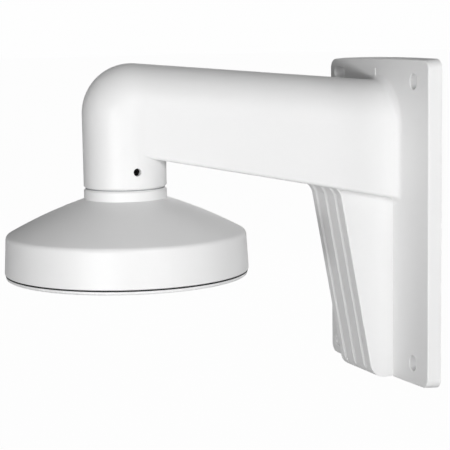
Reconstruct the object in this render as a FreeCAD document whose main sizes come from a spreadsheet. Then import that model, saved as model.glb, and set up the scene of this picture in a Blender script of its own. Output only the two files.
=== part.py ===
import FreeCAD, Part
import Sketcher
import os
import re
from math import acos, atan2, cos, pi, sin, tan

# Camera wall bracket: a hollow die-cast plate and arm, and a round hood screwed
# up into the neck of the arm. Millimetres. The origin is the middle of the
# plate's back, on the wall. The arm runs towards -Y and +Z is up.

V = FreeCAD.Vector

# Driving sizes: alias, value, what it measures
SIZES = [
    ("plate_width", 112.9, "wall plate across, at the wall"),
    ("plate_height", 182.4, "wall plate up and down, at the wall"),
    ("plate_depth", 8.1, "wall to the front of the plate"),
    ("plate_inset", 0.56, "mould draft: each side leans in by this much"),
    ("plate_bow", 0.8, "rise of the curved top and bottom edges"),
    ("plate_corner", 5.6, "corner radius of the plate"),
    ("plate_edge_round", 0.9, "rounding of the plate's front edge"),
    ("plate_skin", 3.2, "thickness of the plate's front skin"),
    ("plate_rim", 3.8, "thickness of the plate's outer wall"),
    ("rib_width", 2.6, "stiffening ribs behind the plate"),
    ("rib_height", 46, "ribs above and below the middle"),
    ("rib_bury", 0.1, "ribs and bosses sunk into the skin, so that all are one"),
    ("upright_slot_width", 6.9, "slots on the +X side, across"),
    ("upright_slot_length", 8.6, "slots on the +X side, overall"),
    ("upright_slot_side", 16.35, "slots on the +X side, in from the plate's side"),
    ("upright_slot_end", 12.9, "slots on the +X side, in from the plate's ends"),
    ("level_slot_width", 6.6, "slots on the -X side, across"),
    ("level_slot_length", 12.6, "slots on the -X side, overall"),
    ("level_slot_side", 11.85, "slots on the -X side, in from the plate's side"),
    ("level_slot_end", 9.2, "slots on the -X side, in from the plate's ends"),
    ("slot_chamfer", 0.3, "chamfer round each slot's mouth"),
    ("slot_boss", 2.8, "wall of the boss behind each slot"),
    ("parting_width", 0.7, "fine ridge that the mould left above the arm"),
    ("parting_height", 0.35, "that ridge above the plate's front"),
    ("parting_aside", 1.4, "that ridge beside the middle, on the -X side"),
    ("parting_top", 85, "its upper end above the middle"),
    ("cast_wall", 3.5, "wall of the arm, neck and gusset"),
    ("arm_root_half", 25.5, "half the width of the arm at the wall"),
    ("arm_crown_wall", 77.7, "top of the arm where it would meet the wall"),
    ("arm_foot_wall", 11.0, "underside of the arm where it would meet the wall"),
    ("arm_foot_slope", 0.2, "climb of the underside for each millimetre outwards"),
    ("arm_foot_round", 1.8, "rounding of the arm's two lower edges"),
    ("arm_root_fillet", 3.2, "fillet between arm and plate"),
    ("neck_reach", 161, "wall to the upright axis of the neck"),
    ("neck_radius", 22, "outside of the neck"),
    ("neck_mouth", 26, "height of the neck's lower face"),
    ("neck_chamfer", 0.9, "chamfer on each side of the joint line"),
    ("joint_gap", 0.5, "open line between the neck and the hood's collar"),
    ("joint_depth", 1.7, "depth of that line from the neck's outside"),
    ("elbow_bend", 4.5, "bend radius of the elbow's middle line"),
    ("elbow_height", 64.5, "height where the elbow turns into the straight neck"),
    ("gusset_half", 18.3, "half the width of the gusset"),
    ("gusset_head", 41.7, "wall to the gusset's front, at the arm"),
    ("gusset_toe", 20.9, "wall to the gusset's front, at its lower end"),
    ("gusset_foot", 90.2, "lower end of the gusset below the middle"),
    ("gusset_head_round", 8.5, "hollow curve where the gusset joins the arm"),
    ("gusset_toe_round", 9.0, "rounding of the gusset's lower end"),
    ("gusset_tail", 10, "gusset's head runs on under the arm by this much"),
    ("gusset_bury", 0.3, "gusset sunk into the arm, so that the two are one"),
    ("gusset_edge_round", 0.9, "rounding of the gusset's two front edges"),
    ("flute_run_out", 3, "flutes and edges run on below the gusset by this much"),
    ("flute_pitch", 11.3, "spacing of the three flutes"),
    ("flute_width", 4.4, "width of a flute at the surface"),
    ("flute_depth", 0.8, "depth of a flute"),
    ("thread_radius", 16.6, "outside of the hood's threaded spigot"),
    ("thread_length", 15.5, "spigot above the hood's collar"),
    ("thread_clearance", 0.15, "gap between spigot and neck"),
    ("thread_relief", 3, "neck's bore runs on above the spigot by this much"),
    ("cable_bore", 12.5, "radius of the way through the spigot"),
    ("seat_lip", 1.3, "wall of the neck's mouth outside the sealing ring"),
    ("seal_clearance", 0.1, "gap between a seal and its seat"),
    ("grub_radius", 2.0, "locking grub screw, M4"),
    ("thread_gap", 0.06, "gap between a screw and its threaded hole"),
    ("grub_height", 35.2, "height of the locking grub screw"),
    ("grub_swing", 2.3, "degrees that the grub screw lies forward of the side"),
    ("grub_recess", 3.4, "grub screw below the neck's surface"),
    ("lock_groove_depth", 1.0, "groove round the spigot that takes the grub screw's end"),
    ("lock_groove_half", 2.4, "half the height of that groove"),
    ("grub_socket", 1.0, "half the key width of the grub screw's socket"),
    ("grub_socket_depth", 1.6, "depth of that socket"),
    ("collar_foot", 20.0, "height where the hood's collar meets the cone"),
    ("cone_radius", 250, "radius of the hood's gently domed cone"),
    ("skirt_top", 1.3, "height of the hood's shoulder"),
    ("skirt_draft", 1.1, "hood is smaller at the shoulder than at its rim by this much"),
    ("hood_radius", 65, "hood at its rim"),
    ("hood_rim", 18.7, "rim of the hood below the middle"),
    ("hood_wall", 3.2, "wall of the hood"),
    ("shoulder_round", 3.0, "rounding of the hood's shoulder"),
    ("rim_round", 0.6, "rounding of the hood's rim"),
    ("rim_seal_thick", 0.8, "rubber ring under the hood's rim"),
    ("rim_seal_setback", 0.5, "seal behind the rim's outside"),
    ("flange_thick", 1.7, "edge of the camera plate"),
    ("flange_setback", 0.7, "camera plate behind the hood's outside"),
    ("flange_round", 0.8, "rounding of the camera plate's lower edge"),
    ("register_thick", 2.4, "raised middle of the camera plate"),
    ("register_clearance", 0.4, "gap between camera plate and hood"),
    ("cable_hole", 17, "radius of the camera plate's cable hole"),
    ("camera_circle", 42, "radius of the camera's ring of threaded holes"),
    ("camera_hole", 1.65, "radius of the camera's holes, tapped for M4"),
    ("boss_inset", 8.5, "plate screws, in from the hood's outside"),
    ("boss_radius", 4.6, "boss for a plate screw"),
    ("boss_hole_depth", 11, "depth of the tapped hole in a boss"),
    ("screw_radius", 2.0, "plate screws, M4"),
    ("screw_length", 12, "plate screws, overall"),
    ("screw_head_radius", 3.8, "countersunk head"),
    ("screw_head_depth", 2.2, "cone of the countersunk head"),
    ("screw_clearance", 0.2, "gap round a plate screw"),
    ("screw_socket", 1.25, "half the key width of the plate screws"),
    ("screw_socket_depth", 1.5, "depth of their sockets"),
]

# Sizes that follow from the driving ones
FOLLOWING = [
    ("bow_radius", "((plate_width / 2)^2 + plate_bow^2) / (2 * plate_bow)", "plate's top and bottom edges"),
    ("recess_depth", "plate_depth - plate_skin", "hollow behind the plate"),
    ("upright_slot_out", "plate_width / 2 - upright_slot_side", "slots on the +X side, from the middle"),
    ("upright_slot_up", "plate_height / 2 - upright_slot_end", "the same, above and below the middle"),
    ("level_slot_out", "plate_width / 2 - level_slot_side", "slots on the -X side, from the middle"),
    ("level_slot_up", "plate_height / 2 - level_slot_end", "the same, above and below the middle"),
    ("arm_reach", "neck_reach - elbow_bend", "wall to the centre of the elbow"),
    ("crown_span", "sqrt(arm_reach^2 + (arm_crown_wall - elbow_height)^2)",
     "elbow centre to the crown at the wall"),
    ("crown_fall", "asin((elbow_bend + neck_radius) / crown_span)"
                   " - atan((arm_crown_wall - elbow_height) / arm_reach)",
     "fall of the crown towards the wall"),
    ("foot_drop", "(elbow_height - arm_foot_wall - arm_foot_slope * arm_reach)"
                  " / (cos(crown_fall) + arm_foot_slope * sin(crown_fall))",
     "elbow centre to the underside"),
    ("inner_foot_drop", "foot_drop - cast_wall", "the same for the hollow"),
    ("gusset_top", "arm_foot_wall + arm_foot_slope * gusset_head + gusset_bury", "height of the gusset's head"),
    ("gusset_lean", "atan((gusset_head - gusset_toe) / (gusset_top + gusset_foot))", "lean of its front"),
    ("head_tangent", "gusset_head_round * tan((90 deg - gusset_lean - atan(arm_foot_slope)) / 2)",
     "length that the hollow curve takes from the front"),
    ("front_wall", "cast_wall / cos(gusset_lean)", "gusset's front wall, measured level"),
    ("flute_bend", "((flute_width / 2)^2 + flute_depth^2) / (2 * flute_depth)", "a flute's round bottom"),
    ("skirt_top_radius", "hood_radius - skirt_draft", "hood at the shoulder"),
    ("boss_circle", "hood_radius - boss_inset", "radius of the ring of plate screws"),
    ("half_chord", "sqrt((skirt_top_radius - neck_radius)^2 + (collar_foot - skirt_top)^2) / 2",
     "half the straight line from collar to shoulder"),
    ("chord_rise", "sqrt(cone_radius^2 - half_chord^2) / (2 * half_chord)", "cone centre off its chord"),
    ("cone_centre_out", "(neck_radius + skirt_top_radius) / 2 - (collar_foot - skirt_top) * chord_rise",
     "cone centre from the neck's axis"),
    ("cone_centre_up", "(collar_foot + skirt_top) / 2 - (skirt_top_radius - neck_radius) * chord_rise",
     "cone centre above the middle"),
    ("inner_cone", "cone_radius - hood_wall", "radius of the cone's inside"),
    ("inner_shoulder", "skirt_top_radius - hood_wall", "inside of the hood at the shoulder"),
    ("inner_rim", "hood_radius - hood_wall", "inside of the hood at the rim"),
    ("ceiling_at_bore", "cone_centre_up + sqrt(inner_cone^2 - (cable_bore - cone_centre_out)^2)",
     "hood's inside at the cable bore"),
    ("ceiling_at_skirt", "cone_centre_up + sqrt(inner_cone^2 - (inner_shoulder - cone_centre_out)^2)",
     "hood's inside at the shoulder"),
    ("flange_top", "hood_rim + rim_seal_thick", "camera plate's flange below the middle"),
    ("plate_face", "flange_top + flange_thick", "camera plate's lower face below the middle"),
    ("register_top", "flange_top - register_thick", "top of the raised middle below the middle"),
    ("register_radius", "inner_rim - register_clearance", "raised middle of the camera plate"),
    ("flange_radius", "hood_radius - flange_setback", "edge of the camera plate"),
    ("seat_radius", "neck_radius - neck_chamfer - seat_lip", "seat of the ring in the neck's mouth"),
    ("seal_circle", "(thread_radius + seat_radius) / 2", "middle radius of the neck seal"),
    ("seal_section", "(seat_radius - thread_radius) / 2 - seal_clearance", "radius of its cord"),
    ("seat_depth", "2 * seal_section + seal_clearance", "depth of the seat"),
    ("grub_seat", "thread_radius - lock_groove_depth + thread_clearance",
     "inner end of the grub screw, from the neck's axis"),
    ("grub_length", "neck_radius - grub_recess - grub_seat", "length of the grub screw"),
]

ALIASES = {row[0] for row in SIZES + FOLLOWING}

doc = FreeCAD.newDocument("camera_wall_bracket")
sheet = doc.addObject("Spreadsheet::Sheet", "sizes")
for row, (alias, value, meaning) in enumerate(SIZES + FOLLOWING, start=1):
    sheet.set(f"A{row}", meaning)
    sheet.set(f"B{row}", str(value) if isinstance(value, (int, float)) else f"={value}")
    sheet.setAlias(f"B{row}", alias)
doc.recompute()


def formula(text):
    """Point each size named in the text at its cell."""
    return re.sub(r"[a-z_]+", lambda word: f"sizes.{word[0]}" if word[0] in ALIASES else word[0], text)


def number(text):
    value = sheet.evalExpression(formula(text))
    return float(getattr(value, "Value", value))


def near(a, b):
    return abs(a - b) < 1e-4


def bind(item, **paths):
    for path, text in paths.items():
        item.setExpression(path, formula(text))


def corner(x, y, rounding=None, bend=None, centre=None, clockwise=False):
    """A corner of an outline. A bend (radius) or a centre makes the edge that leaves it an arc."""
    return {"x": x, "y": y, "rounding": rounding, "bend": bend, "centre": centre, "left": not clockwise}


def arc_between(start, end, middle, radius, left):
    """An arc of a sketch always runs anticlockwise, so the ends may swap."""
    first, last = (start, end) if left else (end, start)
    turn = [atan2(point.y - middle.y, point.x - middle.x) for point in (first, last)]
    if turn[1] <= turn[0]:
        turn[1] += 2 * pi
    return Part.ArcOfCircle(Part.Circle(middle, V(0, 0, 1), radius), *turn), ((1, 2) if left else (2, 1))


def fix_point(sketch, place, x, y):
    """Hold a point of the sketch by its two formulas."""
    for kind, text, axis in (("DistanceX", x, -2), ("DistanceY", y, -1)):
        if near(number(text), 0):
            sketch.addConstraint(Sketcher.Constraint("PointOnObject", *place, axis))
            continue
        held = sketch.addConstraint(Sketcher.Constraint(kind, *place, number(text)))
        sketch.setExpression(f"Constraints[{held}]", formula(text))


def outline(sketch, corners):
    """Draw one closed loop through the corners, anticlockwise or not, and hold it by its sizes."""
    count = len(corners)
    spots = [V(number(c["x"]), number(c["y"]), 0) for c in corners]
    begins, ends, arcs = list(spots), spots[1:] + spots[:1], {}
    for i, c in enumerate(corners):
        if c["rounding"]:
            radius = number(c["rounding"])
            arriving = (spots[i] - spots[i - 1]).normalize()
            leaving = (spots[(i + 1) % count] - spots[i]).normalize()
            turn = acos(max(-1, min(1, arriving.dot(leaving))))
            left = arriving.cross(leaving).z > 0
            ends[i - 1] = spots[i] - arriving * (radius * tan(turn / 2))
            begins[i] = spots[i] + leaving * (radius * tan(turn / 2))
            inward = (leaving - arriving).normalize() * (radius / cos(turn / 2))
            arcs[i] = arc_between(ends[i - 1], begins[i], spots[i] + inward, radius, left)
    edges = []
    for i, c in enumerate(corners):
        chord = ends[i] - begins[i]
        if c["bend"]:
            radius = number(c["bend"])
            aside = V(-chord.y, chord.x, 0).normalize() * (radius ** 2 - (chord.Length / 2) ** 2) ** 0.5
            middle = begins[i] + chord / 2 + (aside if c["left"] else -aside)
            shape, tips = arc_between(begins[i], ends[i], middle, radius, c["left"])
        elif c["centre"]:
            middle = V(number(c["centre"][0]), number(c["centre"][1]), 0)
            shape, tips = arc_between(begins[i], ends[i], middle, (begins[i] - middle).Length, c["left"])
        else:
            shape, tips = Part.LineSegment(begins[i], ends[i]), (1, 2)
        edges.append((sketch.addGeometry(shape, False), tips))
    for i, c in enumerate(corners):
        (before, before_tips), (after, after_tips) = edges[i - 1], edges[i]
        if c["rounding"]:
            arc, tips = arcs[i]
            arc = sketch.addGeometry(arc, False)
            mark = sketch.addGeometry(Part.Point(spots[i]), True)
            fix_point(sketch, (mark, 1), c["x"], c["y"])
            sketch.addConstraint([
                Sketcher.Constraint("PointOnObject", mark, 1, before),
                Sketcher.Constraint("PointOnObject", mark, 1, after),
                Sketcher.Constraint("Tangent", before, before_tips[1], arc, tips[0]),
                Sketcher.Constraint("Tangent", after, after_tips[0], arc, tips[1]),
            ])
            held = sketch.addConstraint(Sketcher.Constraint("Radius", arc, number(c["rounding"])))
            sketch.setExpression(f"Constraints[{held}]", formula(c["rounding"]))
        else:
            start = (after, after_tips[0])
            sketch.addConstraint(Sketcher.Constraint("Coincident", before, before_tips[1], *start))
            fix_point(sketch, start, c["x"], c["y"])
        if c["bend"]:
            held = sketch.addConstraint(Sketcher.Constraint("Radius", after, number(c["bend"])))
            sketch.setExpression(f"Constraints[{held}]", formula(c["bend"]))
        elif c["centre"]:
            level = abs(ends[i].x - begins[i].x) > abs(ends[i].y - begins[i].y)
            kind, text, axis = ("DistanceY", c["centre"][1], -1) if level else ("DistanceX", c["centre"][0], -2)
            if text == "0":
                sketch.addConstraint(Sketcher.Constraint("PointOnObject", after, 3, axis))
            else:
                held = sketch.addConstraint(Sketcher.Constraint(kind, after, 3, number(text)))
                sketch.setExpression(f"Constraints[{held}]", formula(text))


def ring(sketch, x, y, radius):
    """Draw a full circle."""
    circle = sketch.addGeometry(Part.Circle(V(number(x), number(y), 0), V(0, 0, 1), number(radius)), False)
    fix_point(sketch, (circle, 3), x, y)
    held = sketch.addConstraint(Sketcher.Constraint("Radius", circle, number(radius)))
    sketch.setExpression(f"Constraints[{held}]", formula(radius))


def stadium(sketch, x, y, half_straight, radius, upright):
    """Draw a slot with round ends."""
    if upright:
        outline(sketch, [
            corner(f"{x} + {radius}", f"{y} - {half_straight}"),
            corner(f"{x} + {radius}", f"{y} + {half_straight}", centre=(x, f"{y} + {half_straight}")),
            corner(f"{x} - {radius}", f"{y} + {half_straight}"),
            corner(f"{x} - {radius}", f"{y} - {half_straight}", centre=(x, f"{y} - {half_straight}")),
        ])
    else:
        outline(sketch, [
            corner(f"{x} - {half_straight}", f"{y} - {radius}"),
            corner(f"{x} + {half_straight}", f"{y} - {radius}", centre=(f"{x} + {half_straight}", y)),
            corner(f"{x} + {half_straight}", f"{y} + {radius}"),
            corner(f"{x} - {half_straight}", f"{y} + {radius}", centre=(f"{x} - {half_straight}", y)),
        ])


def arch(sketch, half_width, crown, foot, rounding):
    """Draw the arm's section: a round top, flat sides and a flat foot."""
    spring = f"{crown} - ({half_width})"
    rounded = None if foot == "0" else rounding
    outline(sketch, [
        corner(half_width, spring, centre=("0", spring)),
        corner(f"-({half_width})", spring),
        corner(f"-({half_width})", foot, rounding=rounded),
        corner(half_width, foot, rounding=rounded),
    ])


def new_body(name):
    body = doc.addObject("PartDesign::Body", name)
    body.Label = name
    body.AllowCompound = True
    return body


def plane(body, role):
    return [item for item in body.Origin.OriginFeatures if item.Role == role][0]


def new_sketch(body, name, role, out="0", base=None, tilt=None, about=V(1, 0, 0)):
    """A sketch on one of the body's own origin planes, moved along its normal or tilted."""
    sketch = body.newObject("Sketcher::SketchObject", name)
    sketch.AttachmentSupport = (plane(body, role), [""])
    sketch.MapMode = "FlatFace"
    across, up = base or ("0", "0")
    turn = FreeCAD.Rotation(about, number(tilt)) if tilt else FreeCAD.Rotation()
    place = V(number(across), number(up), number(out))
    sketch.AttachmentOffset = FreeCAD.Placement(place, turn)
    for axis, text in (("x", across), ("y", up), ("z", out)):
        if text != "0":
            sketch.setExpression(f".AttachmentOffset.Base.{axis}", formula(text))
    if tilt:
        sketch.setExpression(".AttachmentOffset.Rotation.Angle", formula(tilt))
    return sketch


def feature(body, kind, name, **settings):
    """Add a feature to the body; text settings are formulas, and the rest are plain."""
    item = body.newObject(f"PartDesign::{kind}", name)
    for key, value in settings.items():
        if isinstance(value, str) and key in ("Length", "Angle", "Radius", "Size"):
            setattr(item, key, number(value))
            bind(item, **{key: value})
        else:
            setattr(item, key, value)
    doc.recompute()
    return item


def edges_where(item, test):
    """Names of the edges whose middle and ends pass the test."""
    names = []
    for index, edge in enumerate(item.Shape.Edges, start=1):
        middle = edge.valueAt((edge.FirstParameter + edge.LastParameter) / 2)
        if test(edge, [v.Point for v in edge.Vertexes] + [middle]):
            names.append(f"Edge{index}")
    return names


NEAR_WALL = "XZ_Plane"
FLOOR = "XY_Plane"
SIDE = "YZ_Plane"


def plate(body):
    """The wall plate: drafted sides, bowed ends, rounded corners and front edge."""
    outlines = []
    for name, out, inset in (("plate_back", "0", "0"), ("plate_front", "plate_depth", "plate_inset")):
        sketch = new_sketch(body, name, NEAR_WALL, out)
        half, end = f"plate_width / 2 - {inset}", f"plate_height / 2 - plate_bow - {inset}"
        outline(sketch, [
            corner(half, f"-({end})"),
            corner(half, end, bend="bow_radius"),
            corner(f"-({half})", end),
            corner(f"-({half})", f"-({end})", bend="bow_radius"),
        ])
        outlines.append(sketch)
    slab = feature(body, "AdditiveLoft", "plate_slab", Profile=outlines[0], Sections=[outlines[1]], Ruled=True)
    corners = edges_where(slab, lambda edge, points: not near(points[0].y, points[1].y))
    slab = feature(body, "Fillet", "plate_corners", Base=(slab, corners), Radius="plate_corner")
    front = -number("plate_depth")
    rim = edges_where(slab, lambda edge, points: all(near(point.y, front) for point in points))
    feature(body, "Fillet", "plate_front_edge", Base=(slab, rim), Radius="plate_edge_round")


def arm(body, thick, name, loft, revolve, pad):
    """The arm, elbow and neck as solid or as hollow: thick is taken off their outside."""
    root = new_sketch(body, f"{name}_root", NEAR_WALL)
    foot = f"arm_foot_wall + {thick}"
    arch(root, f"arm_root_half - {thick}", f"arm_crown_wall - {thick}", foot, "arm_foot_round")
    end = new_sketch(body, f"{name}_end", NEAR_WALL, "arm_reach", ("0", "elbow_height"), "-crown_fall")
    drop = "foot_drop" if thick == "0" else "inner_foot_drop"
    arch(end, f"neck_radius - {thick}", f"elbow_bend + neck_radius - {thick}", f"-{drop}", "arm_foot_round")
    feature(body, loft, f"{name}_run", Profile=root, Sections=[end], Ruled=True)

    knee = new_sketch(body, f"{name}_knee", NEAR_WALL, "arm_reach", ("0", "elbow_height"), "-crown_fall")
    arch(knee, f"neck_radius - {thick}", f"elbow_bend + neck_radius - {thick}", "0", "arm_foot_round")
    feature(body, revolve, f"{name}_elbow", Profile=knee, ReferenceAxis=(knee, ["H_Axis"]),
            Angle="90 + crown_fall / 1 deg")

    start = new_sketch(body, f"{name}_cheek_start", NEAR_WALL, "arm_reach", ("0", "elbow_height"), "-crown_fall")
    finish = new_sketch(body, f"{name}_cheek_finish", NEAR_WALL, "neck_reach", ("0", "elbow_height"))
    far_foot = f"arm_foot_wall + arm_foot_slope * neck_reach - elbow_height + {thick}"
    for sketch, foot in ((start, f"-{drop}"), (finish, far_foot)):
        half = f"neck_radius - {thick}"
        outline(sketch, [
            corner(half, "0"),
            corner(f"-({half})", "0"),
            corner(f"-({half})", foot, rounding="arm_foot_round"),
            corner(half, foot, rounding="arm_foot_round"),
        ])
    feature(body, loft, f"{name}_cheek", Profile=start, Sections=[finish], Ruled=True)

    round_neck = new_sketch(body, f"{name}_neck_circle", FLOOR, "elbow_height")
    ring(round_neck, "0", "-neck_reach", f"neck_radius - {thick}")
    foot = "neck_mouth" if thick == "0" else "(neck_mouth + thread_length + thread_relief)"
    feature(body, pad, f"{name}_neck", Profile=round_neck, Length=f"elbow_height - {foot}",
            Reversed=(pad == "Pad"))


def gusset(body):
    """The leg under the arm, drawn from the side."""
    side = new_sketch(body, "gusset_side", SIDE)
    tail = "gusset_head + gusset_tail"
    under = f"arm_foot_wall + arm_foot_slope * ({tail}) + gusset_bury"
    outline(side, [
        corner("-plate_depth / 2", "-gusset_foot"),
        corner("-plate_depth / 2", "gusset_top + gusset_bury"),
        corner(f"-({tail})", f"{under} + gusset_bury"),
        corner(f"-({tail})", under),
        corner("-gusset_head", "gusset_top", rounding="gusset_head_round"),
        corner("-gusset_toe", "-gusset_foot", rounding="gusset_toe_round"),
    ])
    feature(body, "Pad", "gusset_leg", Profile=side, Length="2 * gusset_half", Midplane=True)


def gusset_front(body):
    """Three flutes and two rounded edges, swept down the gusset's front from the hollow curve above."""
    path = new_sketch(body, "gusset_front_line", SIDE)
    lean, tangent = number("gusset_lean") * pi / 180, number("head_tangent")
    radius, run_out = number("gusset_head_round"), number("flute_run_out")
    down = V(sin(lean), -cos(lean), 0)
    head = V(-number("gusset_head"), number("gusset_top"), 0)
    slope = V(-1, number("arm_foot_slope"), 0).normalize()
    toe = V(-number("gusset_toe"), -number("gusset_foot"), 0) + down * run_out
    centre = head + down * tangent + V(-cos(lean), -sin(lean), 0) * radius
    line = path.addGeometry(Part.LineSegment(toe, head + down * tangent), False)
    bend, tips = arc_between(head + down * tangent, head + slope * tangent, centre, radius, True)
    bend = path.addGeometry(bend, False)
    path.addConstraint(Sketcher.Constraint("Tangent", line, 2, bend, tips[0]))
    held = path.addConstraint(Sketcher.Constraint("Radius", bend, radius))
    path.setExpression(f"Constraints[{held}]", formula("gusset_head_round"))
    toe_out = "-gusset_toe + flute_run_out * sin(gusset_lean)"
    toe_up = "-gusset_foot - flute_run_out * cos(gusset_lean)"
    fix_point(path, (line, 1), toe_out, toe_up)
    fix_point(path, (line, 2), "-gusset_head + head_tangent * sin(gusset_lean)",
              "gusset_top - head_tangent * cos(gusset_lean)")
    end_up = "gusset_top + head_tangent * sin(atan(arm_foot_slope))"
    held = path.addConstraint(Sketcher.Constraint("DistanceY", bend, tips[1], number(end_up)))
    path.setExpression(f"Constraints[{held}]", formula(end_up))

    edge = new_sketch(body, "gusset_edge_section", FLOOR, toe_up, ("0", toe_out), "gusset_lean")
    outline(edge, [
        corner("gusset_half + gusset_bury", "-gusset_bury"),
        corner("gusset_half + gusset_bury", "gusset_edge_round"),
        corner("gusset_half", "gusset_edge_round", centre=("gusset_half - gusset_edge_round", "gusset_edge_round"),
               clockwise=True),
        corner("gusset_half - gusset_edge_round", "0"),
        corner("gusset_half - gusset_edge_round", "-gusset_bury"),
    ])
    cut = feature(body, "SubtractivePipe", "gusset_edge", Profile=edge, Spine=(path, []))
    body.Tip = feature(body, "Mirrored", "gusset_edges", Originals=[cut], MirrorPlane=(edge, ["V_Axis"]))

    cutter = new_sketch(body, "flute_section", FLOOR, toe_up, ("0", toe_out), "gusset_lean")
    outline(cutter, [
        corner("-flute_pitch - flute_width / 2", "-flute_depth"),
        corner("-flute_pitch + flute_width / 2", "-flute_depth"),
        corner("-flute_pitch + flute_width / 2", "0", bend="flute_bend"),
        corner("-flute_pitch - flute_width / 2", "0"),
    ])
    cut = feature(body, "SubtractivePipe", "flute", Profile=cutter, Spine=(path, []))
    body.Tip = feature(body, "LinearPattern", "flutes", Originals=[cut], Direction=(cutter, ["H_Axis"]),
                       Length="2 * flute_pitch", Occurrences=3)


def root_fillet(body):
    """The fillet round the foot of the arm where it meets the plate."""
    front, half = -number("plate_depth"), number("arm_root_half")
    low, high = number("arm_foot_wall + arm_foot_round"), number("arm_crown_wall")
    solid = body.Tip

    def at_root(_, points):
        return all(near(p.y, front) and low < p.z < high and abs(p.x) < half for p in points)

    edges = edges_where(solid, at_root)
    feature(body, "Fillet", "arm_root_curve", Base=(solid, edges), Radius="arm_root_fillet")


def parting_ridge(body):
    """The fine upright ridge that two halves of the mould left on the plate, above the arm."""
    sketch = new_sketch(body, "parting_ridge_outline", NEAR_WALL, "plate_depth - rib_bury")
    left, right = "-parting_aside - parting_width / 2", "-parting_aside + parting_width / 2"
    outline(sketch, [
        corner(left, "arm_crown_wall"),
        corner(right, "arm_crown_wall"),
        corner(right, "parting_top"),
        corner(left, "parting_top"),
    ])
    feature(body, "Pad", "parting_ridge", Profile=sketch, Length="parting_height + rib_bury")


def gusset_hollow(body):
    side = new_sketch(body, "gusset_hollow_side", SIDE)
    foot = "-gusset_foot + cast_wall"
    outline(side, [
        corner("0", foot),
        corner("0", "arm_foot_wall"),
        corner("-gusset_head + front_wall", "arm_foot_wall + arm_foot_slope * (gusset_head - front_wall)"),
        corner("-gusset_toe - cast_wall * tan(gusset_lean) + front_wall", foot,
               rounding="gusset_toe_round - cast_wall"),
    ])
    feature(body, "Pocket", "gusset_hollow", Profile=side, Length="2 * (gusset_half - cast_wall)", Midplane=True)


def plate_hollow(body):
    """The hollow behind the plate, which leaves a wall round the arm and the gusset."""
    sketch = new_sketch(body, "plate_hollow_outline", NEAR_WALL)
    side, end = "plate_width / 2 - plate_rim", "plate_height / 2 - plate_bow - plate_rim"
    spring = "arm_crown_wall - arm_root_half"
    outline(sketch, [
        corner("gusset_half", f"-({end})"),
        corner(side, f"-({end})", rounding="plate_corner / 2"),
        corner(side, end, rounding="plate_corner / 2"),
        corner(f"-({side})", end, rounding="plate_corner / 2"),
        corner(f"-({side})", f"-({end})", rounding="plate_corner / 2"),
        corner("-gusset_half", f"-({end})"),
        corner("-gusset_half", "arm_foot_wall"),
        corner("-arm_root_half", "arm_foot_wall"),
        corner("-arm_root_half", spring, centre=("0", spring), clockwise=True),
        corner("arm_root_half", spring),
        corner("arm_root_half", "arm_foot_wall"),
        corner("gusset_half", "arm_foot_wall"),
    ])
    feature(body, "Pocket", "plate_hollow", Profile=sketch, Length="recess_depth", Reversed=True)


def wall_slots(body):
    """Four slots for the wall screws, each in its boss: upright on one side, level on the other."""
    slots = [("upright", "upright_slot_out", f"{sign}upright_slot_up") for sign in ("", "-")]
    slots += [("level", "-level_slot_out", f"{sign}level_slot_up") for sign in ("", "-")]
    bosses = new_sketch(body, "slot_boss_outlines", NEAR_WALL)
    mouths = new_sketch(body, "slot_outlines", NEAR_WALL)
    for way, x, z in slots:
        straight = f"({way}_slot_length - {way}_slot_width) / 2"
        stadium(bosses, x, z, straight, f"({way}_slot_width / 2 + slot_boss)", way == "upright")
        stadium(mouths, x, z, straight, f"{way}_slot_width / 2", way == "upright")
    feature(body, "Pad", "slot_bosses", Profile=bosses, Length="recess_depth + rib_bury")
    ribs = new_sketch(body, "rib_outlines", NEAR_WALL)
    for z, start in (("rib_height", "arm_root_half - cast_wall / 2"), ("-rib_height", "gusset_half")):
        for side in ("", "-"):
            inner, outer = f"{side}({start})", f"{side}(plate_width / 2 - plate_rim / 2)"
            outline(ribs, [
                corner(inner, f"{z} - rib_width / 2"),
                corner(outer, f"{z} - rib_width / 2"),
                corner(outer, f"{z} + rib_width / 2"),
                corner(inner, f"{z} + rib_width / 2"),
            ])
    feature(body, "Pad", "ribs", Profile=ribs, Length="recess_depth + rib_bury")
    cut = feature(body, "Pocket", "slots", Profile=mouths, Length="plate_depth", Reversed=True)
    front, low, inner = -number("plate_depth"), number("arm_crown_wall - plate_corner"), number("arm_root_half")
    side, end = number("plate_width / 2 - plate_rim"), number("plate_height / 2 - plate_bow - plate_edge_round")

    def at_mouth(_, points):
        return all(near(p.y, front) and inner < abs(p.x) < side and low < abs(p.z) < end for p in points)

    feature(body, "Chamfer", "slot_chamfers", Base=(cut, edges_where(cut, at_mouth)), Size="slot_chamfer")


def neck_mouth(body):
    """The bore for the threaded spigot, the seat of the sealing ring and the grub screw's hole."""
    bore = new_sketch(body, "neck_bore_circle", FLOOR, "neck_mouth")
    ring(bore, "0", "-neck_reach", "thread_radius + thread_clearance")
    feature(body, "Pocket", "neck_bore", Profile=bore, Length="thread_length + thread_relief", Reversed=True)
    seat = new_sketch(body, "seal_seat_circle", FLOOR, "neck_mouth")
    ring(seat, "0", "-neck_reach", "seat_radius")
    feature(body, "Pocket", "seal_seat", Profile=seat, Length="seat_depth", Reversed=True)
    radius = number("neck_radius")
    mouth = edges_where(body.Tip, lambda edge, points: all(near(p.z, number("neck_mouth")) for p in points)
                        and hasattr(edge.Curve, "Radius") and near(edge.Curve.Radius, radius))
    feature(body, "Chamfer", "neck_mouth_chamfer", Base=(body.Tip, mouth), Size="neck_chamfer")
    hole = new_sketch(body, "grub_hole_circle", SIDE, "0", ("-neck_reach", "grub_height"), "-grub_swing", V(0, 1, 0))
    ring(hole, "0", "0", "grub_radius + thread_gap")
    feature(body, "Pocket", "grub_hole", Profile=hole, Length="neck_radius + grub_radius", Reversed=True)


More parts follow.
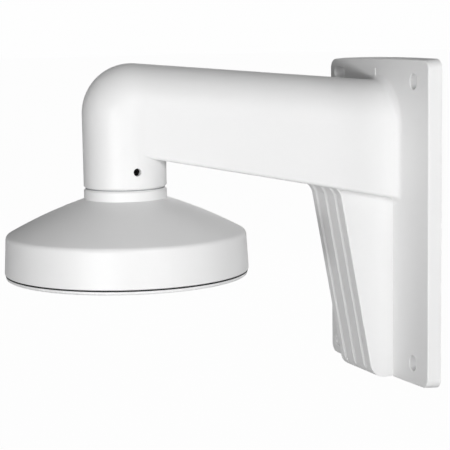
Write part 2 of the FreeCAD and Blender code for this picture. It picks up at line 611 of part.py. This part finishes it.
def bracket_casting():
    """Plate, arm, elbow, neck and gusset are one casting, hollow for the cable."""
    body = new_body("bracket_casting")
    plate(body)
    gusset(body)
    gusset_front(body)
    arm(body, "0", "arm", "AdditiveLoft", "Revolution", "Pad")
    root_fillet(body)
    parting_ridge(body)
    solid = body.Shape.Volume
    arm(body, "cast_wall", "cable_way", "SubtractiveLoft", "Groove", "Pocket")
    gusset_hollow(body)
    plate_hollow(body)
    wall_slots(body)
    neck_mouth(body)
    print(f"bracket_casting: {solid / 1000:.1f} cm3 solid, {body.Shape.Volume / 1000:.1f} cm3 hollow")
    return body


def on_neck_axis(item):
    """Stand a piece on the upright axis of the neck."""
    item.setExpression(".Placement.Base.y", formula("-neck_reach"))


def hood_casting():
    """The round hood: threaded spigot, collar, gently domed cone and skirt, with four screw bosses inside."""
    body = new_body("hood_casting")
    on_neck_axis(body)
    section = new_sketch(body, "hood_section", NEAR_WALL)
    outline(section, [
        corner("hood_radius", "-hood_rim"),
        corner("skirt_top_radius", "skirt_top", bend="cone_radius"),
        corner("neck_radius", "collar_foot"),
        corner("neck_radius", "neck_mouth - joint_gap"),
        corner("neck_radius - joint_depth", "neck_mouth - joint_gap"),
        corner("neck_radius - joint_depth", "neck_mouth"),
        corner("thread_radius", "neck_mouth"),
        corner("thread_radius", "grub_height - lock_groove_half"),
        corner("thread_radius - lock_groove_depth", "grub_height - lock_groove_half"),
        corner("thread_radius - lock_groove_depth", "grub_height + lock_groove_half"),
        corner("thread_radius", "grub_height + lock_groove_half"),
        corner("thread_radius", "neck_mouth + thread_length"),
        corner("cable_bore", "neck_mouth + thread_length"),
        corner("cable_bore", "ceiling_at_bore", bend="inner_cone", clockwise=True),
        corner("inner_shoulder", "ceiling_at_skirt"),
        corner("inner_rim", "-hood_rim"),
    ])
    shell = feature(body, "Revolution", "hood_shell", Profile=section, ReferenceAxis=(section, ["V_Axis"]))

    def circle_at(radius, height):
        def test(edge, points):
            return (hasattr(edge.Curve, "Radius") and near(edge.Curve.Radius, number(radius))
                    and all(near(point.z, number(height)) for point in points))
        return test

    shell = feature(body, "Fillet", "shoulder", Radius="shoulder_round",
                    Base=(shell, edges_where(shell, circle_at("skirt_top_radius", "skirt_top"))))
    shell = feature(body, "Fillet", "rim", Radius="rim_round",
                    Base=(shell, edges_where(shell, circle_at("hood_radius", "-hood_rim"))))
    shell = feature(body, "Chamfer", "collar_edge", Size="neck_chamfer",
                    Base=(shell, edges_where(shell, circle_at("neck_radius", "neck_mouth - joint_gap"))))
    foot = new_sketch(body, "boss_circle_outline", FLOOR, "-register_top")
    ring(foot, "boss_circle", "0", "boss_radius")
    boss = feature(body, "Pad", "boss", Profile=foot, Type="UpToFirst")
    body.Tip = feature(body, "PolarPattern", "bosses", Originals=[boss], Axis=(foot, ["N_Axis"]),
                       Angle=360, Occurrences=4)
    mouth = new_sketch(body, "boss_hole_circle", FLOOR, "-register_top")
    ring(mouth, "boss_circle", "0", "screw_radius + thread_gap")
    hole = feature(body, "Pocket", "boss_hole", Profile=mouth, Length="boss_hole_depth", Reversed=True)
    body.Tip = feature(body, "PolarPattern", "boss_holes", Originals=[hole], Axis=(mouth, ["N_Axis"]),
                       Angle=360, Occurrences=4)
    return body


def rim_seal():
    """The rubber ring between the hood's rim and the camera plate."""
    body = new_body("rim_seal")
    on_neck_axis(body)
    sketch = new_sketch(body, "rim_seal_outline", FLOOR, "-flange_top")
    ring(sketch, "0", "0", "hood_radius - rim_seal_setback")
    ring(sketch, "0", "0", "register_radius + seal_clearance")
    feature(body, "Pad", "rim_seal_ring", Profile=sketch, Length="rim_seal_thick")
    return body


def neck_seal():
    """The rubber cord ring round the root of the spigot, in the neck's mouth."""
    torus = doc.addObject("Part::Torus", "neck_seal")
    torus.Label = "neck_seal"
    bind(torus, Radius1="seal_circle", Radius2="seal_section")
    on_neck_axis(torus)
    torus.setExpression(".Placement.Base.z", formula("neck_mouth + seal_section"))
    return torus


def screw_outline(sketch, gap, shank_gap):
    """Half the section of a countersunk screw, standing on the camera plate's lower face."""
    outline(sketch, [
        corner("0", "-plate_face"),
        corner(f"screw_head_radius + {gap}", "-plate_face"),
        corner(f"screw_radius + {shank_gap}", "-plate_face + screw_head_depth"),
        corner(f"screw_radius + {shank_gap}", "-plate_face + screw_length"),
        corner("0", "-plate_face + screw_length"),
    ])


def hexagon(sketch, x, y, half_width):
    """Draw a key socket, half_width from its middle to a flat."""
    outline(sketch, [
        corner(f"{x} + {half_width} / cos(30 deg) * cos({turn} deg)",
               f"{y} + {half_width} / cos(30 deg) * sin({turn} deg)")
        for turn in range(30, 390, 60)
    ])


def camera_plate():
    """The round plate that closes the hood and carries the camera."""
    body = new_body("camera_plate")
    on_neck_axis(body)
    section = new_sketch(body, "camera_plate_section", NEAR_WALL)
    outline(section, [
        corner("cable_hole", "-plate_face"),
        corner("flange_radius", "-plate_face"),
        corner("flange_radius", "-flange_top"),
        corner("register_radius", "-flange_top"),
        corner("register_radius", "-register_top"),
        corner("cable_hole", "-register_top"),
    ])
    disc = feature(body, "Revolution", "camera_plate_disc", Profile=section, ReferenceAxis=(section, ["V_Axis"]))
    edge, low = number("flange_radius"), -number("plate_face")
    rim = edges_where(disc, lambda item, points: all(near(point.z, low) for point in points)
                      and near(item.Curve.Radius, edge))
    feature(body, "Fillet", "camera_plate_edge", Base=(disc, rim), Radius="flange_round")
    sketch = new_sketch(body, "camera_hole_circle", FLOOR, "-plate_face")
    ring(sketch, "0", "camera_circle", "camera_hole")
    hole = feature(body, "Pocket", "camera_hole", Profile=sketch, Length="flange_thick + register_thick",
                   Reversed=True)
    body.Tip = feature(body, "PolarPattern", "camera_holes", Originals=[hole], Axis=(sketch, ["N_Axis"]),
                       Angle=360, Occurrences=3)
    sink = new_sketch(body, "countersink_section", NEAR_WALL, "0", ("boss_circle", "0"))
    screw_outline(sink, "thread_gap", "screw_clearance")
    sunk = feature(body, "Groove", "countersink", Profile=sink, ReferenceAxis=(sink, ["V_Axis"]))
    body.Tip = feature(body, "PolarPattern", "countersinks", Originals=[sunk], Axis=(sketch, ["N_Axis"]),
                       Angle=360, Occurrences=4)
    return body


def plate_screws():
    """Four like countersunk screws that hold the camera plate to the hood's bosses."""
    body = new_body("plate_screws")
    on_neck_axis(body)
    section = new_sketch(body, "screw_section", NEAR_WALL, "0", ("boss_circle", "0"))
    screw_outline(section, "0", "0")
    screw = feature(body, "Revolution", "screw", Profile=section, ReferenceAxis=(section, ["V_Axis"]))
    key = new_sketch(body, "screw_socket_outline", FLOOR, "-plate_face")
    hexagon(key, "boss_circle", "0", "screw_socket")
    socket = feature(body, "Pocket", "screw_socket", Profile=key, Length="screw_socket_depth", Reversed=True)
    body.Tip = feature(body, "PolarPattern", "screws", Originals=[screw, socket], Axis=(key, ["N_Axis"]),
                       Angle=360, Occurrences=4)
    return body


def grub_screw():
    """The locking screw in the side of the neck, which bears on the hood's spigot."""
    body = new_body("grub_screw")
    end = new_sketch(body, "grub_circle", FLOOR, "grub_seat")
    ring(end, "0", "0", "grub_radius")
    feature(body, "Pad", "grub_rod", Profile=end, Length="grub_length")
    key = new_sketch(body, "grub_socket_outline", FLOOR, "grub_seat + grub_length")
    hexagon(key, "0", "0", "grub_socket")
    feature(body, "Pocket", "grub_socket", Profile=key, Length="grub_socket_depth")
    level = FreeCAD.Rotation(V(0, 1, 0), 90)
    forward = FreeCAD.Rotation(V(0, 0, 1), -number("grub_swing"))
    body.Placement = FreeCAD.Placement(V(0, 0, 0), forward * level)
    on_neck_axis(body)
    body.setExpression(".Placement.Base.z", formula("grub_height"))
    return body


pieces = [bracket_casting(), hood_casting(), neck_seal(), grub_screw(), rim_seal(), camera_plate(), plate_screws()]
doc.recompute()

faults = [f"{item.Name}: {item.State}" for item in doc.Objects
          if "Invalid" in item.State or "Error" in item.State]
faults += [f"{item.Name}: loose sketch" for item in doc.Objects
           if item.TypeId == "Sketcher::SketchObject" and not item.FullyConstrained]
faults += [f"{piece.Label}: bad shape" for piece in pieces if piece.Shape.isNull() or not piece.Shape.isValid()]
if faults:
    raise RuntimeError("; ".join(faults))

os.makedirs("parts", exist_ok=True)
for piece in pieces:
    box = piece.Shape.BoundBox
    print(f"{piece.Label}: {len(piece.Shape.Solids)} solid, {piece.Shape.Volume / 1000:.2f} cm3, "
          f"{box.XLength:.1f} x {box.YLength:.1f} x {box.ZLength:.1f}, z {box.ZMin:.1f} to {box.ZMax:.1f}")
    piece.Shape.exportStep(f"parts/{piece.Label}.step")
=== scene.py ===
# %% [markdown]
# # A camera wall bracket
# The real object is two aluminium die castings, a wall plate with its arm and a round hood,
# both powder coated in white. A dome camera hangs under the hood.
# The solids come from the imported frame. What Blender adds is the finish of each material, the
# light of a small photo studio and the camera.

# %% Load the solids
import math

import bpy
from mathutils import Matrix, Vector

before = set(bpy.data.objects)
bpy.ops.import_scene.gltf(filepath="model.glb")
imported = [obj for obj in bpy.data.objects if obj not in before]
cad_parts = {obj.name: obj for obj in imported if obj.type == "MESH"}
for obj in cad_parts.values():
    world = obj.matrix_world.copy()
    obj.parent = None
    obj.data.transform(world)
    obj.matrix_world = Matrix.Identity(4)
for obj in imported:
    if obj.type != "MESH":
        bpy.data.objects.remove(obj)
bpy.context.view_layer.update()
print("nodes:", ", ".join(sorted(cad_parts)))

# %% [markdown]
# ## Camera
# The photograph was taken from the side of the arm, a little above it, with a long lens.
# A camera can be aimed with a constraint, but a matrix made from its three axes states the
# place and the small roll exactly, and nothing moves it later.

# %% Place the camera
CAMERA_PLACE = Vector((0.7036, -0.4091, 0.1028))
CAMERA_AZIMUTH = math.radians(66.53)
CAMERA_ELEVATION = math.radians(7.53)
CAMERA_ROLL = math.radians(-0.91)
LENS_MM = 112.53
SENSOR_MM = 36

backward = Vector((math.sin(CAMERA_AZIMUTH) * math.cos(CAMERA_ELEVATION),
                   -math.cos(CAMERA_AZIMUTH) * math.cos(CAMERA_ELEVATION),
                   math.sin(CAMERA_ELEVATION)))
level_right = Vector((math.cos(CAMERA_AZIMUTH), math.sin(CAMERA_AZIMUTH), 0))
level_up = backward.cross(level_right)
right = math.cos(CAMERA_ROLL) * level_right + math.sin(CAMERA_ROLL) * level_up
up = -math.sin(CAMERA_ROLL) * level_right + math.cos(CAMERA_ROLL) * level_up

camera = bpy.data.objects.new("camera", bpy.data.cameras.new("camera"))
camera_axes = Matrix((right, up, backward)).transposed().to_4x4()
camera.matrix_world = Matrix.Translation(CAMERA_PLACE) @ camera_axes
camera.data.lens = LENS_MM
camera.data.sensor_width = SENSOR_MM
bpy.context.scene.collection.objects.link(camera)
bpy.context.scene.camera = camera
bpy.context.scene.view_settings.view_transform = "Standard"
print("camera at", [round(value, 3) for value in camera.location])

# %% [markdown]
# ## Helpers for materials
# Colours are written as the hex values that a screen shows, and shaders want linear light, so
# one function turns them. Another adds a node, sets it up and wires it in one call, which keeps
# each material readable from top to bottom. Noise and bump get short names of their own, because
# every finish here is a noise of some size that also gives the surface its height.

# %% Define the helpers
MM = 0.001
MIDDLE_GREY = "#808080"


def linear(hex_colour):
    """Turn an sRGB hex colour into the linear colour that a shader reads."""
    parts = [int(hex_colour[i:i + 2], 16) / 255 for i in (1, 3, 5)]
    return [p / 12.92 if p <= 0.04045 else ((p + 0.055) / 1.055) ** 2.4 for p in parts] + [1.0]


def add_node(tree, kind, values=None, links=None, **settings):
    """Add one node with its settings, its sockets' values and the outputs that feed it."""
    node = tree.nodes.new(kind)
    for name, value in settings.items():
        setattr(node, name, value)
    for socket, value in (values or {}).items():
        node.inputs[socket].default_value = value
    for socket, source in (links or {}).items():
        tree.links.new(source, node.inputs[socket])
    return node


def new_material(name):
    """Start an empty material and return it with its node tree."""
    material = bpy.data.materials.new(name)
    material.use_nodes = True
    material.node_tree.nodes.clear()
    return material, material.node_tree


def noise(tree, place, size_mm, detail):
    """Noise whose patches are about size_mm across."""
    return add_node(tree, "ShaderNodeTexNoise", {"Scale": 1 / (size_mm * MM), "Detail": detail},
                    {"Vector": place})


def bump(tree, height_mm, links):
    """Turn a pattern into relief that is height_mm deep."""
    return add_node(tree, "ShaderNodeBump", {"Strength": 1.0, "Distance": height_mm * MM}, links)


print("middle grey in linear light:", round(linear(MIDDLE_GREY)[0], 3))

# %% [markdown]
# ## White powder coat
# Polyester powder is sprayed on dry and melts in an oven. It flows almost flat, and what is
# left is orange peel: soft waves one to two millimetres across, which break up highlights.
# Under it, the sand-blasted casting gives a much finer grain. An image could hold both, but noise
# in the object's own millimetres has no seams and keeps its scale on every part.
# In the photograph the line between the two castings is dark, and it doesn't show why. The faces
# between neck and hood are given a dull grey, painted shade that darkens the line between the castings,
# its grey chosen by comparing renders with the photograph. Faces that seal are often masked before
# spraying, so these are guessed to be bare: the dull grey of blasted aluminium, chosen by comparing
# renders with the photograph. Where they are is known in millimetres from the neck's axis, so the
# material finds them by place.

# %% Find the joint faces that take painted shade
NECK_REACH_MM = 161
JOINT_HEIGHT_MM = 25.75
JOINT_HALF_MM = 0.5
JOINT_RADIUS_MM = 21.15


def painted_shade_faces(tree, place):
    """1 on the faces between neck and hood, which take painted shade, and 0 everywhere else. 1
    on the faces between neck and hood, which are guessed to be bare, and 0 everywhere else.
    """
    offset = (0.0, NECK_REACH_MM * MM, -JOINT_HEIGHT_MM * MM)
    centred = add_node(tree, "ShaderNodeVectorMath", {1: offset}, {0: place}, operation="ADD")
    flat = add_node(tree, "ShaderNodeVectorMath", {1: (1.0, 1.0, 0.0)},
                    {0: centred.outputs["Vector"]}, operation="MULTIPLY")
    reach = add_node(tree, "ShaderNodeVectorMath", links={0: flat.outputs["Vector"]},
                     operation="LENGTH")
    inside = add_node(tree, "ShaderNodeMath", {1: JOINT_RADIUS_MM * MM},
                      {0: reach.outputs["Value"]}, operation="LESS_THAN")
    parts = add_node(tree, "ShaderNodeSeparateXYZ", links={0: centred.outputs["Vector"]})
    level = add_node(tree, "ShaderNodeMath", {1: 0.0, 2: JOINT_HALF_MM * MM},
                     {0: parts.outputs["Z"]}, operation="COMPARE")
    both = add_node(tree, "ShaderNodeMath", operation="MULTIPLY",
                    links={0: inside.outputs["Value"], 1: level.outputs["Value"]})
    return both.outputs["Value"]


# The faces found here take the grey of painted shade in the joint between neck and hood.
print("masked within", JOINT_RADIUS_MM, "mm of the neck's axis")

# %% Make the powder coat
PEEL_MM = 1.7
PEEL_HEIGHT_MM = 0.012
GRAIN_MM = 0.35
GRAIN_HEIGHT_MM = 0.0015
SHADE_MM = 60
COAT_WHITE = "#EFEFEF"
SHADED_WHITE = "#EDEDED"
# painted shade: the grey that darkens the faces in the joint between neck and hood
PAINTED_SHADE_GREY = "#B9BABC"
COAT_IOR = 1.5
CAST_ROUGHNESS = 0.44
PLATE_ROUGHNESS = 0.42
ROUGHNESS_SPREAD = 0.03


def powder_coat(name, roughness):
    """Satin polyester powder on cast aluminium: broad soft highlights and no sharp mirror."""
    material, tree = new_material(name)
    place = add_node(tree, "ShaderNodeTexCoord").outputs["Object"]
    drift = noise(tree, place, SHADE_MM, detail=2.0)
    tint = add_node(tree, "ShaderNodeMix", {"A": linear(COAT_WHITE), "B": linear(SHADED_WHITE)},
                    {"Factor": drift.outputs["Fac"]}, data_type="RGBA")
    # The joint faces take the grey, painted shade between neck and hood.
    colour = add_node(tree, "ShaderNodeMix", {"B": linear(PAINTED_SHADE_GREY)}, data_type="RGBA",
                      links={"Factor": painted_shade_faces(tree, place), "A": tint.outputs["Result"]})
    peel = noise(tree, place, PEEL_MM, detail=1.0)
    grain = noise(tree, place, GRAIN_MM, detail=1.0)
    waves = bump(tree, PEEL_HEIGHT_MM, {"Height": peel.outputs["Fac"]})
    surface = bump(tree, GRAIN_HEIGHT_MM,
                   {"Height": grain.outputs["Fac"], "Normal": waves.outputs["Normal"]})
    span = {"To Min": roughness - ROUGHNESS_SPREAD, "To Max": roughness + ROUGHNESS_SPREAD}
    gloss = add_node(tree, "ShaderNodeMapRange", span, {"Value": peel.outputs["Fac"]})
    shader = add_node(tree, "ShaderNodeBsdfPrincipled", {"IOR": COAT_IOR, "Metallic": 0.0},
                      {"Base Color": colour.outputs["Result"], "Roughness": gloss.outputs["Result"],
                       "Normal": surface.outputs["Normal"]})
    add_node(tree, "ShaderNodeOutputMaterial", links={"Surface": shader.outputs["BSDF"]})
    return material


cast_white = powder_coat("powder_coated_casting", CAST_ROUGHNESS)
plate_white = powder_coat("powder_coated_plate", PLATE_ROUGHNESS)
print("made", cast_white.name, "and", plate_white.name)

# %% [markdown]
# ## Moulded rubber
# Both seals are EPDM rubber. Carbon makes it black, and the mould leaves it matt, so it shows
# as a dark line with almost no highlight. A rough dielectric does that without any texture map.

# %% Make the rubber
RUBBER_GRAIN_MM = 0.4
RUBBER_GRAIN_HEIGHT_MM = 0.01
RUBBER_BLACK = "#1A1A1B"
RUBBER_BLOOM = "#232324"
RUBBER_IOR = 1.52
RUBBER_ROUGHNESS = 0.75

seal_rubber, tree = new_material("moulded_epdm_rubber")
place = add_node(tree, "ShaderNodeTexCoord").outputs["Object"]
grain = noise(tree, place, RUBBER_GRAIN_MM, detail=2.0)
bloom = add_node(tree, "ShaderNodeMix", {"A": linear(RUBBER_BLACK), "B": linear(RUBBER_BLOOM)},
                 {"Factor": grain.outputs["Fac"]}, data_type="RGBA")
relief = bump(tree, RUBBER_GRAIN_HEIGHT_MM, {"Height": grain.outputs["Fac"]})
shader = add_node(tree, "ShaderNodeBsdfPrincipled", {"IOR": RUBBER_IOR, "Roughness": RUBBER_ROUGHNESS},
                  {"Base Color": bloom.outputs["Result"], "Normal": relief.outputs["Normal"]})
add_node(tree, "ShaderNodeOutputMaterial", links={"Surface": shader.outputs["BSDF"]})
print("made", seal_rubber.name)

# %% [markdown]
# ## Screw steels
# The grub screw is black oxide on hardened steel: a thin dark layer that still has a metal's
# sheen. The plate screws are stainless steel, turned on a lathe, so they carry fine rings. Both
# are metals with their own roughness, and the rings are a wave that climbs each screw's length.

# %% Make the black oxide
OXIDE_PATCH_MM = 1.2
OXIDE_DARK = "#161617"
OXIDE_LIGHT = "#201F1F"
OXIDE_ROUGHNESS = (0.4, 0.55)

black_oxide, tree = new_material("black_oxide_steel")
place = add_node(tree, "ShaderNodeTexCoord").outputs["Object"]
patches = noise(tree, place, OXIDE_PATCH_MM, detail=3.0)
oxide = add_node(tree, "ShaderNodeMix", {"A": linear(OXIDE_DARK), "B": linear(OXIDE_LIGHT)},
                 {"Factor": patches.outputs["Fac"]}, data_type="RGBA")
span = {"To Min": OXIDE_ROUGHNESS[0], "To Max": OXIDE_ROUGHNESS[1]}
sheen = add_node(tree, "ShaderNodeMapRange", span, {"Value": patches.outputs["Fac"]})
shader = add_node(tree, "ShaderNodeBsdfPrincipled", {"Metallic": 1.0},
                  {"Base Color": oxide.outputs["Result"], "Roughness": sheen.outputs["Result"]})
add_node(tree, "ShaderNodeOutputMaterial", links={"Surface": shader.outputs["BSDF"]})
print("made", black_oxide.name)

# %% Make the stainless steel
TOOL_MARK_MM = 0.3
TOOL_MARK_HEIGHT_MM = 0.004
WAVE_PERIODS_PER_UNIT = 20 / (2 * math.pi)
HAZE_MM = 1.2
STEEL_LIGHT = "#C9C7C3"
STEEL_DARK = "#BDBBB8"
STEEL_ROUGHNESS = 0.3

stainless, tree = new_material("turned_stainless_steel")
place = add_node(tree, "ShaderNodeTexCoord").outputs["Object"]
marks = add_node(tree, "ShaderNodeTexWave", {"Scale": 1 / (TOOL_MARK_MM * MM * WAVE_PERIODS_PER_UNIT)},
                 {"Vector": place}, bands_direction="Z")
relief = bump(tree, TOOL_MARK_HEIGHT_MM, {"Height": marks.outputs["Fac"]})
haze = noise(tree, place, HAZE_MM, detail=2.0)
steel = add_node(tree, "ShaderNodeMix", {"A": linear(STEEL_LIGHT), "B": linear(STEEL_DARK)},
                 {"Factor": haze.outputs["Fac"]}, data_type="RGBA")
shader = add_node(tree, "ShaderNodeBsdfPrincipled", {"Metallic": 1.0, "Roughness": STEEL_ROUGHNESS},
                  {"Base Color": steel.outputs["Result"], "Normal": relief.outputs["Normal"]})
add_node(tree, "ShaderNodeOutputMaterial", links={"Surface": shader.outputs["BSDF"]})
print("made", stainless.name)

# %% [markdown]
# ## Dress the solids
# The castings' shapes are already right, so each solid keeps its mesh and only takes a material.

# %% Give each node its material
FINISHES = {
    "bracket_casting": cast_white,
    "hood_casting": cast_white,
    "camera_plate": plate_white,
    "rim_seal": seal_rubber,
    "neck_seal": seal_rubber,
    "grub_screw": black_oxide,
    "plate_screws": stainless,
}
for node, material in FINISHES.items():
    solid = bpy.data.objects[node]
    for place_in_list in range(len(solid.material_slots)):
        solid.material_slots[place_in_list].material = material
    print(node, "wears", material.name)

# %% [markdown]
# ## Floor and backdrop
# The photograph has a plain white background. The floor is a pale matt sheet, and the world
# behind it is white to the camera. Only what the camera sees is raised to white, so that the
# background adds no light to the object and the floor still takes a soft shadow.
# Glossy rays see a fifth of that white. The share was fitted to the photograph together with the
# lamps; a real white room would be reflected in full.

# %% Lay the floor
FLOOR_HEIGHT = -0.25
FLOOR_HALF = 30.0
WHITE_SHARE = 0.98
GLOSSY_SHARE = 0.2
PAPER_GREY = "#E6E6E6"
PURE_WHITE = "#FFFFFF"
FLOOR_SIDES = ((-1, -1), (1, -1), (1, 1), (-1, 1))

corners = [(x * FLOOR_HALF, y * FLOOR_HALF, FLOOR_HEIGHT) for x, y in FLOOR_SIDES]
sheet = bpy.data.meshes.new("floor")
sheet.from_pydata(corners, [], [(0, 1, 2, 3)])
floor = bpy.data.objects.new("floor", sheet)
bpy.context.scene.collection.objects.link(floor)


def background_share(tree, share):
    """The part of the white background that a ray sees, which is less for glossy rays."""
    rays = add_node(tree, "ShaderNodeLightPath")
    clear = add_node(tree, "ShaderNodeMath", operation="MAXIMUM",
                     links={0: rays.outputs["Is Camera Ray"], 1: rays.outputs["Is Transmission Ray"]})
    glossy = add_node(tree, "ShaderNodeMath", {1: GLOSSY_SHARE}, {0: rays.outputs["Is Glossy Ray"]},
                      operation="MULTIPLY")
    seen = add_node(tree, "ShaderNodeMath", operation="MAXIMUM",
                    links={0: clear.outputs[0], 1: glossy.outputs[0]})
    part = add_node(tree, "ShaderNodeMath", {1: share}, {0: seen.outputs[0]}, operation="MULTIPLY")
    return part.outputs[0]


paper, tree = new_material("matt_paper")
share = background_share(tree, WHITE_SHARE)
matt = add_node(tree, "ShaderNodeBsdfDiffuse", {"Color": linear(PAPER_GREY)})
white = add_node(tree, "ShaderNodeEmission", {"Color": linear(PURE_WHITE), "Strength": 1.0})
both = add_node(tree, "ShaderNodeMixShader", links={0: share, 1: matt.outputs[0], 2: white.outputs[0]})
add_node(tree, "ShaderNodeOutputMaterial", links={"Surface": both.outputs[0]})
sheet.materials.append(paper)
print("floor at", FLOOR_HEIGHT, "m")

# %% Whiten the world
AMBIENT = 0.11
BACKDROP_WHITE = "#FEFEFE"

world = bpy.data.worlds.new("studio")
bpy.context.scene.world = world
world.use_nodes = True
tree = world.node_tree
tree.nodes.clear()
share = background_share(tree, 1.0)
dim = add_node(tree, "ShaderNodeBackground", {"Color": linear(PURE_WHITE), "Strength": AMBIENT})
white = add_node(tree, "ShaderNodeBackground", {"Color": linear(BACKDROP_WHITE), "Strength": 1.0})
both = add_node(tree, "ShaderNodeMixShader", links={0: share, 1: dim.outputs[0], 2: white.outputs[0]})
add_node(tree, "ShaderNodeOutputWorld", links={"Surface": both.outputs[0]})
print("ambient light", AMBIENT)

# %% [markdown]
# ## Studio light
# A large softbox beside the camera lights the arm's side almost evenly. Weak ones behind the plate
# and on the far side brighten what faces away. Two small low ones in front reach the wall plate, and
# the arm's shadow on the plate has the short blur that small ones give. Little comes from above,
# which leaves the top of the arm grey. Area lamps stand in for the softboxes, since their size
# sets how soft each shadow is.
# The watts were fitted: each lamp was rendered alone, and a least-squares fit of their sum to the
# photograph gave each one's share, which trial renders then corrected. One photograph can't tell
# a white coat under weak lamps from a greyer one under strong lamps, so the coat's white is a
# choice, and the lamps are right only together with it.

# %% Hang the softboxes
AIM = Vector((0.0, -0.11, 0.0))
LAMPS = [
    ("softbox_side", 90, 18, 1.6, 0.8, 10.8),
    ("softbox_back", 140, 12, 1.6, 0.6, 2.6),
    ("softbox_far", 250, 12, 1.6, 0.8, 1.8),
    ("front_left", 35, 1, 1.6, 0.2, 5.2),
    ("front_right", 50, -4, 1.6, 0.2, 5.5),
]
for name, azimuth, elevation, distance, width, watts in LAMPS:
    turn, rise = math.radians(azimuth), math.radians(elevation)
    outward = Vector((math.sin(turn) * math.cos(rise), -math.cos(turn) * math.cos(rise), math.sin(rise)))
    lamp = bpy.data.objects.new(name, bpy.data.lights.new(name, "AREA"))
    lamp.data.shape = "DISK"
    lamp.data.size = width
    lamp.data.energy = watts
    facing = outward.to_track_quat("Z", "Y").to_matrix().to_4x4()
    lamp.matrix_world = Matrix.Translation(AIM + outward * distance) @ facing
    bpy.context.scene.collection.objects.link(lamp)
    print(name, "gives", watts, "W")
